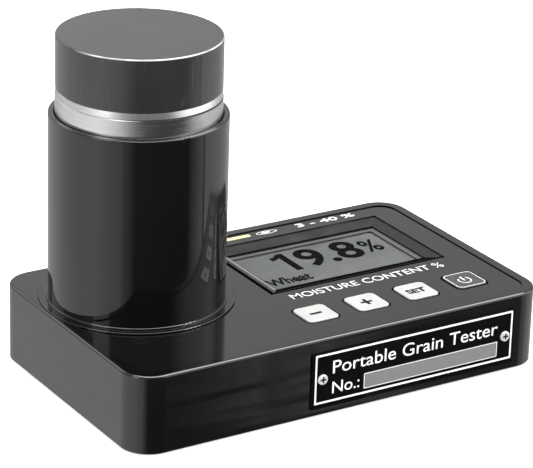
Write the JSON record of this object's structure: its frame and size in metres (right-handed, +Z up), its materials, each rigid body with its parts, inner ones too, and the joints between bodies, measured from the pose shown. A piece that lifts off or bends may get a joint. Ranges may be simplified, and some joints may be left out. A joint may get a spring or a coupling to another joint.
{
  "type": "grain moisture meter",
  "caption": "Benchtop grain moisture meter: flat casing with a tall lidded measuring barrel, a sunken display, a row of keys and a plate on the front face.",
  "frame": {"origin": "on the supporting surface, under the middle of the casing", "axes": "+X along the long side towards the display, +Y towards the back, +Z up"},
  "size_m": [0.205, 0.1245, 0.1533],
  "materials": {
    "gloss_black": "high-gloss moulded ABS",
    "satin_black": "satin moulded plastic",
    "surround_black": "fine satin plastic",
    "cover_black": "fine spark texture",
    "front_sheet": "printed polycarbonate sheet, velvet",
    "key_white": "satin white with dark legend",
    "key_dark": "satin dark grey with white outline",
    "aluminium": "turned, fine circular marks",
    "steel": "zinc-plated",
    "spring_steel": "nickel-plated",
    "plate_black": "black printed metal plate",
    "clear": "clear acrylic",
    "lcd_grey": "reflective display, satin",
    "polarizer": "satin film",
    "backlight": "milky light guide",
    "board": "solder mask",
    "component": "moulded epoxy",
    "insulator": "machined acetal",
    "brass": "nickel-free brass nut",
    "rubber": "matt rubber",
    "foam": "closed-cell foam",
    "cell_jacket": "printed metal jacket",
    "ribbon": "PVC ribbon"
  },
  "bodies": {
    "casing": {"upper_housing": "gloss_black", "barrel_sleeve": "gloss_black", "display_bezel": "surround_black", "bottom_cover": "cover_black", "battery_holder": "cover_black", "front_overlay": "front_sheet", "rubber_feet": "rubber", "case_screws": "steel", "display_screws": "steel", "board_screws": "steel", "sleeve_screws": "steel", "cell_board_screws": "steel", "nameplate_screws": "steel", "hinge_pins": "steel", "temperature_probe": "steel", "display_window": "clear", "lcd_polarizer": "polarizer", "lcd_glass": "lcd_grey", "lcd_backlight": "backlight", "lcd_frame": "plate_black", "nameplate": "plate_black", "display_board": "board", "main_board": "board", "cell_board": "board", "display_header": "component", "board_chips": "component", "buzzer": "component", "tact_switches": "component", "ribbon_sockets": "component", "battery_cells": "cell_jacket", "battery_springs": "spring_steel", "battery_contacts": "spring_steel", "measuring_cylinder": "aluminium", "centre_electrode": "aluminium", "cell_floor": "insulator", "electrode_washer": "insulator", "electrode_nut": "brass", "signal_ribbon": "ribbon"},
    "lid": {"lid_cap": "satin_black", "lid_plug": "satin_black", "lid_seal": "rubber"},
    "battery_door": {"battery_door": "cover_black", "battery_door_pad": "foam"},
    "key_minus": {"key_minus": "key_white", "switch_plunger_minus": "insulator"},
    "key_plus": {"key_plus": "key_white", "switch_plunger_plus": "insulator"},
    "key_set": {"key_set": "key_white", "switch_plunger_set": "insulator"},
    "key_power": {"key_power": "key_dark", "switch_plunger_power": "insulator"}
  },
  "joints": [
    {"name": "lid_lift", "type": "slide", "parent": "casing", "child": "lid", "axis": [0, 0, 1], "range_m": [0, 0.06]},
    {"name": "battery_door_hinge", "type": "hinge", "parent": "casing", "child": "battery_door", "pos_m": [0.0126, 0, 0.0021], "axis": [0, 1, 0], "range_deg": [0, 90]},
    {"name": "key_minus_press", "type": "slide", "parent": "casing", "child": "key_minus", "axis": [0, 0, -1], "range_m": [0, 0.0005], "stiffness_N_per_m": 4000, "springref_m": -0.0001},
    {"name": "key_plus_press", "type": "slide", "parent": "casing", "child": "key_plus", "axis": [0, 0, -1], "range_m": [0, 0.0005], "stiffness_N_per_m": 4000, "springref_m": -0.0001},
    {"name": "key_set_press", "type": "slide", "parent": "casing", "child": "key_set", "axis": [0, 0, -1], "range_m": [0, 0.0005], "stiffness_N_per_m": 4000, "springref_m": -0.0001},
    {"name": "key_power_press", "type": "slide", "parent": "casing", "child": "key_power", "axis": [0, 0, -1], "range_m": [0, 0.0005], "stiffness_N_per_m": 4000, "springref_m": -0.0001}
  ]
}
